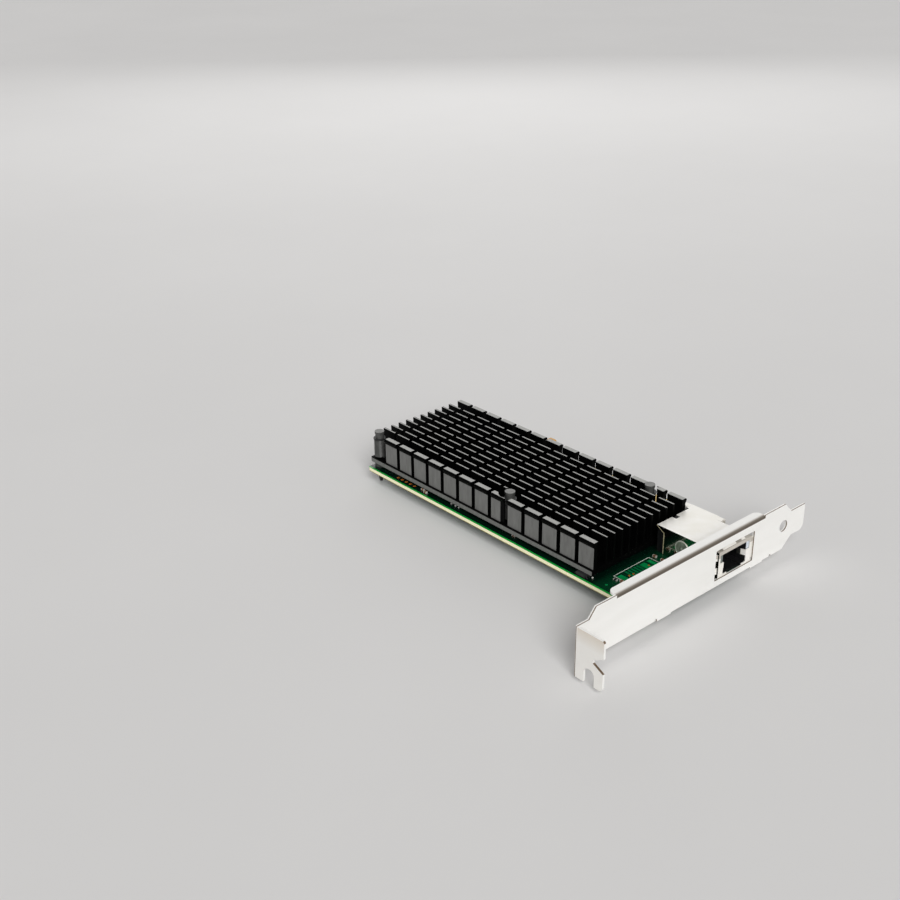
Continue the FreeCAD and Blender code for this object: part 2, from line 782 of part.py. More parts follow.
def make_wires():
    """The eight sprung contacts, hung from the cavity's roof."""
    top = port_top
    thick = wire_thickness
    x1 = jack_front - wire_front
    x2 = x1 - wire_flat
    x3 = x2 - wire_reach
    side = [(x1, top), (x1, top - thick), (x2, top - thick), (x3, top - wire_drop - thick),
            (x3, top - wire_drop), (x2, top)]
    solids = []
    for i in range(wire_count):
        y = jack_centre + (i - (wire_count - 1) / 2) * wire_pitch - wire_width / 2
        solids.append(prism(on_xz(y, side), Vector(0, wire_width, 0)))
    return group(solids)


def make_tails():
    half = tail_size / 2
    low = -board_thickness - tail_length
    return group([box(x - half, x + half, y - half, y + half, low, 0)
                  for x, y in jack_tail_places()])


# ---- small parts -----------------------------------------------------------
def chip(middle, height):
    x, y = middle
    return box(x - chip_length / 2, x + chip_length / 2, y - chip_width / 2,
               y + chip_width / 2, 0, height)


def make_flash():
    """Eight-lead memory chip with its leads."""
    body_low = flash_standoff
    body = box(flash_x - flash_width / 2, flash_x + flash_width / 2,
               flash_y - flash_length / 2, flash_y + flash_length / 2, body_low, flash_height)
    leads = []
    for sign in (-1, 1):
        for i in range(4):
            y = flash_y + (i - 1.5) * flash_lead_pitch - flash_lead_width / 2
            root = flash_x + sign * (flash_width / 2 - 0.1)
            knee = flash_x + sign * (flash_width / 2 + flash_lead_reach / 2)
            toe = flash_x + sign * (flash_width / 2 + flash_lead_reach)
            thick = flash_lead_thickness
            middle = flash_height / 2
            side = [(root, middle), (root, middle + thick), (knee, middle + thick),
                    (knee + sign * 0.15, thick), (toe, thick), (toe, 0),
                    (knee, 0), (knee - sign * 0.1, middle)]
            leads.append(prism(on_xz(y, side), Vector(0, flash_lead_width, 0)))
    return body.fuse(leads)


def make_inductors():
    solids = []
    for place in inductor_places:
        x, y = from_bracket(place)
        block = centred_block(x, y, inductor_side, 0, inductor_height)

        def upright(edge):
            a, b = edge.Vertexes[0].Point, edge.Vertexes[-1].Point
            return abs(a.x - b.x) < 0.01 and abs(a.y - b.y) < 0.01
        solids.append(block.makeChamfer(inductor_corner, [e for e in block.Edges if upright(e)]))
    return group(solids)


def make_solder_side():
    """Decoupling capacitors under the controller."""
    solids = []
    low = -board_thickness - chip_height
    for i in range(solder_side_columns):
        for j in range(solder_side_rows):
            x = controller_x + (i - (solder_side_columns - 1) / 2) * solder_side_pitch
            y = controller_y + (j - (solder_side_rows - 1) / 2) * solder_side_pitch
            solids.append(box(x - chip_length / 2, x + chip_length / 2, y - chip_width / 2,
                              y + chip_width / 2, low, -board_thickness))
    return group(solids)


os.makedirs("parts", exist_ok=True)

save("circuit_board", make_board())
save("edge_contacts_front", make_contacts(0, contact_thickness))
save("edge_contacts_back", make_contacts(-board_thickness - contact_thickness, -board_thickness))
save("bracket", make_bracket())
save("bracket_screws", make_screws())
save("heatsink", make_heatsink())
save("push_pins", make_pins())
save("pin_springs", make_springs())

lid_low = package_thickness
lid_high = lid_low + lid_thickness
save("controller_package", centred_block(controller_x, controller_y, package_side, 0, lid_low))
save("controller_lid", centred_block(controller_x, controller_y, lid_side, lid_low, lid_high))
save("thermal_pad", centred_block(controller_x, controller_y, lid_side, lid_high, base_height))

save("jack_shield", make_shield())
save("jack_housing", make_housing())
save("jack_contacts", make_wires())
save("jack_solder_pins", make_tails())
save("left_light", light_block(-1, light_fit))
save("right_light", light_block(1, light_fit))

save("flash_chip", make_flash())
save("ceramic_capacitors", group(
    [chip(from_bracket(place), chip_height) for place in capacitor_places + back_capacitor_places]
    + [chip(from_free_end(place), chip_height) for place in end_capacitor_places]))
save("chip_resistors", group(
    [chip(from_bracket(place), resistor_height) for place in resistor_places]))
save("power_inductors", make_inductors())
save("regulator_chips", group(
    [centred_block(*from_bracket(place), regulator_side, 0, regulator_height)
     for place in regulator_places]))
crystal_x, crystal_y = from_free_end(crystal_place)
save("crystal", box(crystal_x - crystal_length / 2, crystal_x + crystal_length / 2,
                    crystal_y - crystal_width / 2, crystal_y + crystal_width / 2,
                    0, crystal_height))
cap_x, cap_y = from_bracket(tall_cap_place)
tall_cap = box(cap_x - tall_cap_length / 2, cap_x + tall_cap_length / 2,
               cap_y - tall_cap_width / 2, cap_y + tall_cap_width / 2, 0, tall_cap_height)
save("tall_capacitor", tall_cap.makeChamfer(tall_cap_chamfer, [
    e for e in tall_cap.Edges if min(v.Z for v in e.Vertexes) > tall_cap_height - 0.01]))
save("solder_side_capacitors", make_solder_side())
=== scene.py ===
import math
import random
import bpy
import bmesh
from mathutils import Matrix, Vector


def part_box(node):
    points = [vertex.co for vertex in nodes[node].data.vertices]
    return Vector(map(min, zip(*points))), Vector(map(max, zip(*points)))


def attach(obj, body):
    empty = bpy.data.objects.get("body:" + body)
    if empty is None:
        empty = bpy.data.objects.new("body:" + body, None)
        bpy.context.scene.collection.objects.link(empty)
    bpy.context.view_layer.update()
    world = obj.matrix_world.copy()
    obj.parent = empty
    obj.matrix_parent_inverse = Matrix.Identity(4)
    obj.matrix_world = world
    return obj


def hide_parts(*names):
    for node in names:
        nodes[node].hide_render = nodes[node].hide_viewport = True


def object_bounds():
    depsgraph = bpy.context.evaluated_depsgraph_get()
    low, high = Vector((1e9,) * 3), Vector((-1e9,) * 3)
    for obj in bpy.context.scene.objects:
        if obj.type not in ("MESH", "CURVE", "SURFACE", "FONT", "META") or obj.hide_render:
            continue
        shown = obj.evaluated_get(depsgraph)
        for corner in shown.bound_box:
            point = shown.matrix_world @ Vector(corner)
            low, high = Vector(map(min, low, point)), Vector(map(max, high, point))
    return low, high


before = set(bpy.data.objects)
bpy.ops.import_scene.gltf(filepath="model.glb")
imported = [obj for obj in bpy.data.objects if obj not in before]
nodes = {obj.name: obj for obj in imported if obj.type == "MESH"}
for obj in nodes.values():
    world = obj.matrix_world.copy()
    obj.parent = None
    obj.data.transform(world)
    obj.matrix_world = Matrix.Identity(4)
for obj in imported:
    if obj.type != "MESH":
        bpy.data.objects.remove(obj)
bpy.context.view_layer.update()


rng = random.Random(7)

# ---- sizes that the looks follow -------------------------------------------
MM = 0.001
SHEET = 0.86 * MM                       # the bracket's sheet
FLANGE_BEND = 1.35 * MM
REACH_TO_EAR = 9.86 * MM                # ears' inner ends to the bracket's outer face
FLANGE_SPAN = (18.2 * MM, 95.6 * MM)    # along the bracket, from its screw tab
FRACTURE = 0.45 * SHEET                 # brown part of a sheared edge, beside the outer face
TAB_FADE = 9 * MM                       # height of the painted reflection that makes the screw tab darker and warmer towards its fold
LIP_HEIGHT = 1.2 * MM                   # lip along the tops of the outer fins
FIN_PITCH = 3.94 * MM
FIRST_FIN = 7.27 * MM                   # its middle, from the heatsink's near side
FIN_CORE = 0.27 * MM                    # half the painted highlight in the middle of a thin fin's top
THICK_FIN = 2.7 * MM                    # outer fins and a little over
OUTER_SKIN = 0.8 * MM                   # depth within which a long face counts as an outer one
BASE_THICKNESS = 2.2 * MM               # of the heatsink
BASE_EDGE = 0.5 * MM                    # painted shade along the upper edge of the base's long faces
PIN_GAP_SHADE = (0.45 * MM, 1.7 * MM)        # painted shade beside the front pin, from its axis to both sides
NECK_DEPTH = 2.88 * MM                  # head and neck of a push pin
COLLAR_HEIGHT = 1.7 * MM                # its collar, under the heatsink
JACK_TOP = 10.8 * MM                    # above the board
JACK_MIDDLE = 8.75 * MM                 # from the housing's near side
WALL_SPAN = (8.7 * MM, 9.35 * MM)       # the shield's side walls, from the jack's middle
SPRING_SPAN = (5.0 * MM, 6.5 * MM)      # the top's springs, from the jack's middle
BAR_LOW = 8.4 * MM                      # lower edge of the shield's bar over the opening
RIM_WIDTH = 0.9 * MM                    # painted highlight: a bright strip along the board's near edge
EDGE_DARK_BELOW = -1.25 * MM               # height below which the board's cut edge is darker
SKIN = 0.03 * MM                        # ink and copper above the board
EASE = 0.05 * MM                        # eased edges of small blocks
HAIR = 0.0001 * MM                      # radius that closes the middle of a turned form


# ---- node-tree helpers -----------------------------------------------------
def srgb(r, g, b):
    """Colour written as 0-255 screen values, as a linear triple."""
    def one(v):
        v = v / 255.0
        return v / 12.92 if v <= 0.04045 else ((v + 0.055) / 1.055) ** 2.4
    return one(r), one(g), one(b)


class Tree:
    """A small wrapper that places and links shader nodes."""

    def __init__(self, name):
        self.mat = bpy.data.materials.new(name)
        self.mat.use_nodes = True
        self.nt = self.mat.node_tree
        self.bsdf = self.nt.nodes["Principled BSDF"]
        self.coord = None

    def link(self, a, b):
        self.nt.links.new(a, b)

    def colour(self, socket):
        self.link(socket, self.bsdf.inputs["Base Color"])

    def rough(self, socket):
        self.link(socket, self.bsdf.inputs["Roughness"])

    def set(self, **values):
        """Constant values on the shader's own sockets."""
        names = {"metal": "Metallic", "coat": "Coat Weight", "coat_rough": "Coat Roughness"}
        for key, value in values.items():
            self.bsdf.inputs[names[key]].default_value = value

    def at(self, scale=(1, 1, 1)):
        """Object coordinates, scaled."""
        if self.coord is None:
            self.coord = self.nt.nodes.new("ShaderNodeTexCoord")
        mapping = self.nt.nodes.new("ShaderNodeMapping")
        mapping.inputs["Scale"].default_value = scale
        self.link(self.coord.outputs["Object"], mapping.inputs["Vector"])
        return mapping.outputs["Vector"]

    def parts(self, vector):
        """The three components of a vector socket."""
        made = self.nt.nodes.new("ShaderNodeSeparateXYZ")
        self.link(vector, made.inputs["Vector"])
        return made.outputs["X"], made.outputs["Y"], made.outputs["Z"]

    def normal(self):
        """Components of the face normal."""
        made = self.nt.nodes.new("ShaderNodeNewGeometry")
        return self.parts(made.outputs["True Normal"])

    def noise(self, vector, scale, detail=4.0, rough=0.6):
        made = self.nt.nodes.new("ShaderNodeTexNoise")
        made.inputs["Scale"].default_value = scale
        made.inputs["Detail"].default_value = detail
        made.inputs["Roughness"].default_value = rough
        self.link(vector, made.inputs["Vector"])
        return made.outputs["Fac"]

    def bump(self, value, strength, distance=0.1 * MM):
        made = self.nt.nodes.new("ShaderNodeBump")
        made.inputs["Strength"].default_value = strength
        made.inputs["Distance"].default_value = distance
        self.link(value, made.inputs["Height"])
        self.link(made.outputs["Normal"], self.bsdf.inputs["Normal"])

    def ramp(self, value, stops):
        """Colours along a factor, from (place, screen colour) pairs."""
        made = self.nt.nodes.new("ShaderNodeValToRGB")
        ramp = made.color_ramp
        for element, (place, colour) in zip(ramp.elements, (stops[0], stops[-1])):
            element.position = place
            element.color = (*srgb(*colour), 1)
        for place, colour in stops[1:-1]:
            element = ramp.elements.new(place)
            element.color = (*srgb(*colour), 1)
        self.link(value, made.inputs["Fac"])
        return made.outputs["Color"]

    def tone(self, grain, dark, light):
        """Two near colours, mixed by a grain."""
        return self.ramp(grain, [(0.3, dark), (0.7, light)])

    def mix(self, factor, a, b):
        """Colour a where factor is 0 and colour b where it is 1."""
        made = self.nt.nodes.new("ShaderNodeMix")
        made.data_type = "RGBA"
        first, second, result = 6, 7, 2         # the node's colour sockets
        self.link(factor, made.inputs["Factor"])
        self.link(a, made.inputs[first])
        self.link(b, made.inputs[second])
        return made.outputs[result]

    def spread(self, value, low, high):
        """A factor mapped to a range."""
        made = self.nt.nodes.new("ShaderNodeMapRange")
        made.inputs["To Min"].default_value = low
        made.inputs["To Max"].default_value = high
        self.link(value, made.inputs["Value"])
        return made.outputs["Result"]

    def between(self, value, low, high):
        """0 at the low end of a range and 1 at its high end."""
        made = self.nt.nodes.new("ShaderNodeMapRange")
        made.inputs["From Min"].default_value = low
        made.inputs["From Max"].default_value = high
        self.link(value, made.inputs["Value"])
        return made.outputs["Result"]

    def math(self, operation, a, b=None):
        """A maths node on sockets or numbers."""
        made = self.nt.nodes.new("ShaderNodeMath")
        made.operation = operation
        for socket, value in zip(made.inputs, (a, b)):
            if value is None:
                continue
            if isinstance(value, (int, float)):
                socket.default_value = value
            else:
                self.link(value, socket)
        return made.outputs[0]

    def absolute(self, value):
        return self.math("ABSOLUTE", value)

    def distance(self, value, middle):
        """How far the value is from a middle, on either side."""
        return self.absolute(self.math("SUBTRACT", value, middle))

    def above(self, value, limit):
        """1 where the value is over a limit."""
        return self.math("GREATER_THAN", value, limit)

    def below(self, value, limit):
        """1 where the value is under a limit."""
        return self.math("LESS_THAN", value, limit)

    def within(self, value, low, high):
        """1 where the value lies between two limits."""
        return self.both(self.above(value, low), self.below(value, high))

    def both(self, *masks):
        """1 where all the masks are 1."""
        result = masks[0]
        for mask in masks[1:]:
            result = self.math("MULTIPLY", result, mask)
        return result

    def either(self, a, b):
        """1 where one of two masks is 1."""
        return self.math("MAXIMUM", a, b)

    def opposite(self, mask):
        """1 where the mask is 0."""
        return self.math("SUBTRACT", 1.0, mask)


def mottled(name, dark, light, scale, rough, metal=0.0, bump=0.0, bump_scale=None,
            stretch=(1, 1, 1), **more):
    """Two near colours, mixed by fine noise, with roughness that follows it."""
    tree = Tree(name)
    vector = tree.at(stretch)
    grain = tree.noise(vector, scale, 5.0)
    tree.colour(tree.tone(grain, dark, light))
    tree.rough(tree.spread(grain, *rough))
    tree.set(metal=metal, **more)
    if bump:
        tree.bump(tree.noise(vector, bump_scale), bump)
    return tree.mat


def islands(name):
    """Boxes of a node's separate solids, as (low, high) pairs."""
    bm = bmesh.new()
    bm.from_mesh(nodes[name].data)
    bmesh.ops.remove_doubles(bm, verts=bm.verts, dist=1e-6)
    left = set(bm.verts)
    boxes = []
    while left:
        todo = [left.pop()]
        found = list(todo)
        while todo:
            for edge in todo.pop().link_edges:
                for v in edge.verts:
                    if v in left:
                        left.discard(v)
                        todo.append(v)
                        found.append(v)
        low = Vector([min(v.co[k] for v in found) for k in range(3)])
        high = Vector([max(v.co[k] for v in found) for k in range(3)])
        boxes.append((low, high))
    bm.free()
    return sorted(boxes, key=lambda pair: tuple(round(c, 6) for c in pair[0]))


# ---- plain materials -------------------------------------------------------
gold_mat = mottled("gold", (226, 184, 104), (244, 210, 138), 400.0, (0.22, 0.36), metal=1.0)
copper_mat = mottled("pad_gold", (226, 124, 44), (248, 152, 66), 900.0, (0.3, 0.4), metal=0.6)
tin_mat = mottled("tinned", (232, 230, 224), (250, 248, 242), 900.0, (0.26, 0.4), metal=0.4,
                  bump=0.2, bump_scale=2500)
chip_mat = mottled("chip_black", (34, 34, 36), (46, 46, 48), 900.0, (0.5, 0.65),
                   bump=0.3, bump_scale=6000)
plastic_mat = mottled("jack_plastic", (14, 14, 15), (22, 22, 23), 700.0, (0.35, 0.5),
                      bump=0.12, bump_scale=4000)
spring_mat = mottled("spring_steel", (66, 66, 65), (84, 84, 82), 600.0, (0.34, 0.46), metal=0.2)
screw_mat = mottled("screw_steel", (190, 190, 190), (220, 220, 218), 500.0, (0.2, 0.32),
                    metal=1.0)
ceramic_mat = mottled("ceramic_tan", (112, 74, 52), (142, 100, 72), 1500.0, (0.4, 0.55),
                      bump=0.15, bump_scale=5000)
inductor_mat = mottled("inductor_grey", (52, 52, 54), (76, 76, 78), 1200.0, (0.5, 0.7),
                       bump=0.4, bump_scale=5000)
tantalum_mat = mottled("tantalum", (190, 140, 62), (210, 160, 80), 800.0, (0.35, 0.5),
                       bump=0.1, bump_scale=3000)
can_mat = mottled("crystal_can", (196, 192, 178), (216, 212, 200), 700.0, (0.25, 0.35),
                  metal=1.0)
package_mat = mottled("package_substrate", (30, 92, 52), (44, 110, 64), 900.0, (0.3, 0.4))
lid_mat = mottled("lid_metal", (170, 170, 170), (190, 190, 190), 500.0, (0.35, 0.5), metal=1.0)
pad_mat = mottled("pad_grey", (150, 152, 156), (170, 172, 176), 700.0, (0.7, 0.8))
light_green_mat = mottled("light_green", (96, 104, 100), (114, 122, 116), 500.0, (0.15, 0.25))
light_clear_mat = mottled("light_clear", (190, 198, 206), (210, 216, 222), 500.0, (0.15, 0.25))
silk_mat = mottled("silkscreen", (228, 236, 222), (246, 250, 240), 1500.0, (0.5, 0.7))
pour_mat = mottled("pour_green", (0, 140, 74), (8, 160, 86), 300.0, (0.2, 0.3),
                   coat=0.25, coat_rough=0.12)
trace_mat = mottled("trace_green", (0, 112, 62), (4, 128, 72), 300.0, (0.2, 0.3),
                    coat=0.25, coat_rough=0.12)
boss_mat = mottled("boss_face", (104, 112, 98), (186, 192, 176), 1500.0, (0.3, 0.45),
                   metal=0.5, bump=0.5, bump_scale=1200, stretch=(1, 1, 0.25))
boss_rim_mat = mottled("boss_rim", (196, 198, 186), (226, 228, 216), 900.0, (0.3, 0.4),
                       metal=0.3)
edge_mat = mottled("bare_edge", (196, 184, 146), (228, 218, 184), 900.0, (0.3, 0.4), metal=0.3)


def bracket_material():
    """Bright plated steel, bare along the sheared edges, with painted reflection: a dark band in
    the flange's bend and a darker, warmer screw tab near its fold.
    """
    tree = Tree("bracket_steel")
    low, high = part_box("bracket")
    outer_face = low[0] + REACH_TO_EAR
    tab_from = outer_face + 0.3 * MM            # only the screw tab lies past this
    tab_past_fold = outer_face + 2 * MM
    bend_low = high[2] - FLANGE_BEND
    vector = tree.at((1, 0.15, 1))
    grain = tree.noise(vector, 90.0, 5.0)
    across, along, up = tree.normal()
    x, y, z = tree.parts(tree.at())
    plate = tree.tone(grain, (240, 239, 235), (249, 248, 245))

    # Painted reflection: the bend is painted as a soft dark band that fades towards the flange.
    band = tree.ramp(tree.between(z, bend_low, high[2]),
                     [(0.10, (240, 238, 233)), (0.20, (92, 83, 74)), (0.60, (96, 88, 78)),
                      (0.86, (140, 132, 122)), (1.0, (232, 229, 223))])
    flange = tree.both(tree.within(y, low[1] + FLANGE_SPAN[0], low[1] + FLANGE_SPAN[1]),
                       tree.above(z, bend_low))
    bend = tree.both(flange, tree.above(across, 0.03))

    # Sheared edges: brown fracture beside the outer face, bright behind it.
    brown = tree.tone(grain, (104, 86, 68), (132, 112, 90))
    bright = tree.tone(grain, (250, 249, 245), (255, 254, 250))
    sheared = tree.both(tree.below(tree.absolute(across), 0.5),
                        tree.within(x, outer_face - SHEET, outer_face),
                        tree.below(flange, 0.5))
    fracture = tree.above(x, outer_face - FRACTURE)

    # Brown too: the screw tab's edges that face up and outwards, as in the bay at its end.
    slanted = tree.both(tree.above(x, tab_past_fold), tree.above(up, 0.2),
                        tree.above(across, 0.3))

    # Painted reflection: the screw tab is painted darker and warmer towards its fold.
    fold = tree.ramp(tree.between(z, high[2] - TAB_FADE, high[2]),
                     [(0.0, (240, 238, 233)), (0.6, (224, 215, 202)), (1.0, (186, 166, 142))])
    tab = tree.both(tree.above(x, tab_from), tree.below(along, -0.5))

    colour = tree.mix(tab, plate, fold)
    colour = tree.mix(bend, colour, band)
    colour = tree.mix(sheared, colour, tree.mix(fracture, bright, brown))
    tree.colour(tree.mix(slanted, colour, brown))
    tree.rough(tree.spread(grain, 0.32, 0.42))
    tree.set(metal=0.3)
    tree.bump(tree.noise(vector, 1600.0), 0.08)
    return tree.mat


def shield_material():
    """Tinned sheet: the side walls mirror the board, the top and front are brushed; painted shade
    darkens the walls near the front, the top and bar inside the bracket's cut-out and the springs'
    inner ends.
    """
    tree = Tree("jack_metal")
    low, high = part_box("jack_housing")
    vector = tree.at()
    cloud = tree.noise(vector, 130.0, 5.0)
    across, along, up = tree.normal()
    x, y, z = tree.parts(tree.at())
    from_middle = tree.distance(y, low[1] + JACK_MIDDLE)
    top_low, top_high = JACK_TOP - 0.1 * MM, JACK_TOP + 0.1 * MM
    front = high[0]
    wall_front = front - 5 * MM
    nose_rear = front - 2.5 * MM
    springs_rear, springs_front, springs_top = front - 4 * MM, front - 1.5 * MM, JACK_TOP - 2 * MM
    plate = tree.ramp(cloud, [(0.3, (243, 240, 231)), (0.62, (252, 250, 245))])
    shade_tone = tree.tone(cloud, (30, 31, 28), (44, 45, 41))

    # Painted shade: the side walls are painted dark near the front, inside the bracket.
    wall = tree.tone(cloud, (176, 178, 166), (204, 206, 194))
    wall = tree.mix(tree.above(x, wall_front), wall, shade_tone)
    side = tree.both(tree.above(tree.absolute(along), 0.5), tree.within(from_middle, *WALL_SPAN))

    # Painted shade: inside the bracket's cut-out the top is painted darker, and so are the
    # springs' inner ends.
    shaded = tree.tone(cloud, (158, 152, 142), (178, 172, 162))
    nose = tree.both(tree.above(x, nose_rear), tree.above(up, 0.8),
                     tree.within(z, top_low, top_high))
    # Painted shade too on the front's bar above the opening.
    bar_shade = tree.tone(cloud, (188, 182, 172), (206, 200, 190))
    bar = tree.both(tree.above(across, 0.5), tree.within(z, BAR_LOW, top_high))
    springs = tree.both(tree.within(from_middle, *SPRING_SPAN),
                        tree.within(x, springs_rear, springs_front), tree.below(z, springs_top))

    colour = tree.mix(bar, tree.mix(nose, plate, shaded), bar_shade)
    colour = tree.mix(springs, colour, shade_tone)
    tree.colour(tree.mix(side, colour, wall))
    tree.link(tree.spread(side, 0.35, 1.0), tree.bsdf.inputs["Metallic"])
    tree.rough(tree.spread(side, 0.36, 0.13))
    tree.bump(tree.noise(vector, 900.0), 0.05)
    return tree.mat


def pin_material():
    """Dark moulded plastic, with painted light: paler on the neck and the collar, palest on the
    flat of the head.
    """
    tree = Tree("black_plastic")
    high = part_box("push_pins")[1]
    grain = tree.noise(tree.at(), 700.0)
    z = tree.parts(tree.at())[2]
    sides = tree.tone(grain, (24, 24, 24), (34, 34, 34))
    # Painted light: the neck and collar get a lit tone, the flat of the head a paler one.
    lit_plastic = tree.tone(grain, (56, 56, 55), (74, 74, 72))
    ends = tree.tone(grain, (106, 106, 104), (134, 134, 131))
    neck = tree.above(z, high[2] - NECK_DEPTH)
    collar = tree.within(z, 0.0, COLLAR_HEIGHT)
    up = tree.normal()[2]
    top = tree.both(tree.above(up, 0.9), tree.above(z, high[2] - 0.3 * MM))
    colour = tree.mix(tree.either(neck, collar), sides, lit_plastic)
    tree.colour(tree.mix(top, colour, ends))
    tree.rough(tree.spread(grain, 0.36, 0.5))
    tree.bump(grain, 0.1, 0.05 * MM)
    return tree.mat


def board_material():
    """Glossy green solder mask, with bare glass cloth at the cut edge, painted shade under the
    heatsink and a painted highlight along the near edge.
    """
    tree = Tree("board_green")
    cloud = tree.noise(tree.at(), 60.0, 4.0, 0.55)
    fine = tree.noise(tree.at(), 2400.0, 2.0, 0.5)
    x, y, z = tree.parts(tree.at())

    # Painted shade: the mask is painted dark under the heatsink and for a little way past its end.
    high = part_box("heatsink")[1]
    fade_from, fade_to = high[0] + 0.5 * MM, high[0] + 6.0 * MM
    component_side = tree.above(z, -0.5 * MM)
    green = tree.tone(cloud, (0, 54, 31), (0, 72, 41))
    shade = tree.tone(cloud, (0, 20, 13), (2, 28, 18))
    under_heatsink_shade = tree.opposite(tree.between(x, fade_from, fade_to))
    under_heatsink_shade = tree.both(under_heatsink_shade, tree.below(y, high[1]), component_side)
    green = tree.mix(under_heatsink_shade, green, shade)
    # Painted highlight: a bright green strip along the board's near edge.
    rim = tree.tone(cloud, (8, 150, 52), (22, 172, 66))
    near = tree.below(y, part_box("circuit_board")[0][1] + RIM_WIDTH)
    green = tree.mix(near, green, rim)

    # The cut edge is pale, and darker towards the bottom.
    edge = tree.tone(fine, (246, 240, 196), (254, 250, 214))
    lower = tree.tone(fine, (150, 138, 92), (172, 160, 112))
    edge = tree.mix(tree.below(z, EDGE_DARK_BELOW), edge, lower)
    flat = tree.above(tree.absolute(tree.normal()[2]), 0.35)
    tree.colour(tree.mix(flat, edge, green))
    tree.rough(tree.spread(cloud, 0.22, 0.32))
    tree.set(coat=0.25, coat_rough=0.12)
    tree.bump(fine, 0.08, 0.05 * MM)
    return tree.mat


def fin_material():
    """Black anodising, darkened further as painted shade on most faces, with painted light: grey
    on the outer long faces, pale on the fin tops.
    """
    tree = Tree("black_anodised")
    low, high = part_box("heatsink")
    middle = (low[1] + high[1]) / 2
    half_width = (high[1] - low[1]) / 2
    base_top = low[2] + BASE_THICKNESS
    grain = tree.noise(tree.at((1, 1, 0.2)), 900.0)
    x, y, z = tree.parts(tree.at())
    along, up = tree.normal()[1:]
    from_middle = tree.distance(y, middle)
    # Painted light and shade: the black finish in three tones, near black where shaded, grey on
    # the lit outer long faces, pale on the lit tops.
    shaded_black = tree.tone(grain, (2, 2, 2), (6, 6, 6))
    lit_grey = tree.tone(grain, (98, 98, 96), (114, 114, 112))
    tops = tree.tone(grain, (158, 158, 155), (176, 176, 172))

    # Painted highlight: on the thin fins only the middle of the top is pale.
    start = low[1] + FIRST_FIN - FIN_PITCH / 2
    turns = tree.math("DIVIDE", tree.math("SUBTRACT", y, start), FIN_PITCH)
    core = tree.below(tree.distance(tree.math("FRACT", turns), 0.5), FIN_CORE / FIN_PITCH)
    thick = tree.above(from_middle, half_width - THICK_FIN)
    top = tree.both(tree.above(up, 0.9), tree.above(z, high[2] - 0.1 * MM),
                    tree.either(thick, core))

    # Painted shade: the base's long faces stay near black along their upper edge.
    edge_shade = tree.within(z, base_top - BASE_EDGE, base_top + 0.02 * MM)

    # Painted shade: the near block beside the front pin is painted near black, as a gap for the
    # pin that the solid doesn't have.
    pin = min(islands("push_pins")[1:], key=lambda pair: pair[0].y)
    pin_x = (pin[0].x + pin[1].x) / 2
    pin_gap_shade = tree.both(tree.below(y, middle), tree.above(z, base_top),
                        tree.within(x, pin_x - PIN_GAP_SHADE[0], pin_x + PIN_GAP_SHADE[1]))

    outer = tree.both(tree.above(from_middle, half_width - OUTER_SKIN),
                      tree.below(z, high[2] - LIP_HEIGHT), tree.above(tree.absolute(along), 0.9),
                      tree.opposite(edge_shade), tree.opposite(pin_gap_shade))
    tree.colour(tree.mix(top, tree.mix(outer, shaded_black, lit_grey), tops))
    tree.rough(tree.spread(grain, 0.42, 0.55))
    bright = tree.either(top, outer)
    tree.link(tree.spread(bright, 0.03, 0.3), tree.bsdf.inputs["Specular IOR Level"])
    tree.bump(grain, 0.1, 0.05 * MM)
    return tree.mat


shield_mat = shield_material()
node_materials = {
    "circuit_board": board_material(),
    "edge_contacts_front": gold_mat,
    "edge_contacts_back": gold_mat,
    "controller_package": package_mat,
    "controller_lid": lid_mat,
    "thermal_pad": pad_mat,
    "heatsink": fin_material(),
    "push_pins": pin_material(),
    "pin_springs": spring_mat,
    "bracket": bracket_material(),
    "bracket_screws": screw_mat,
    "jack_shield": shield_mat,
    "jack_housing": plastic_mat,
    "jack_contacts": gold_mat,
    "jack_solder_pins": tin_mat,
    "left_light": light_green_mat,
    "right_light": light_clear_mat,
    "flash_chip": chip_mat,
    "regulator_chips": chip_mat,
    "power_inductors": inductor_mat,
    "ceramic_capacitors": ceramic_mat,
    "chip_resistors": chip_mat,
    "crystal": can_mat,
    "tall_capacitor": tantalum_mat,
    "solder_side_capacitors": ceramic_mat,
}
for name, material in node_materials.items():
    mesh = nodes[name].data
    mesh.materials.clear()
    mesh.materials.append(material)


# ---- mesh helpers ----------------------------------------------------------
def finish_piece(bm, name, material, smooth=False):
    """Turn a bmesh into a piece that rides on the card."""
    bmesh.ops.recalc_face_normals(bm, faces=bm.faces)
    mesh = bpy.data.meshes.new(name)
    bm.to_mesh(mesh)
    bm.free()
    mesh.materials.append(material)
    if smooth:
        mesh.polygons.foreach_set("use_smooth", [True] * len(mesh.polygons))
        mesh.set_sharp_from_angle(angle=math.radians(35))
    made = bpy.data.objects.new(name, mesh)
    bpy.context.collection.objects.link(made)
    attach(made, "root")
    return made


def join_rings(bm, rings):
    """Faces between each closed ring of vertices and the next."""
    for a, b in zip(rings, rings[1:]):
        for i in range(len(a)):
            j = (i + 1) % len(a)
            bm.faces.new((a[i], a[j], b[j], b[i]))


def close_form(bm, rings):
    """A form through rings of vertices, with a face at each end."""
    join_rings(bm, rings)
    bm.faces.new(rings[0][::-1])
    bm.faces.new(rings[-1])


def lathe(bm, x, y, outline, segments=20):
    """A turned form on an upright axis, from (radius, height) pairs."""
    rings = []
    for radius, z in outline:
        rings.append([bm.verts.new((x + radius * math.cos(2 * math.pi * i / segments),
                                    y + radius * math.sin(2 * math.pi * i / segments), z))
                      for i in range(segments)])
    join_rings(bm, rings)


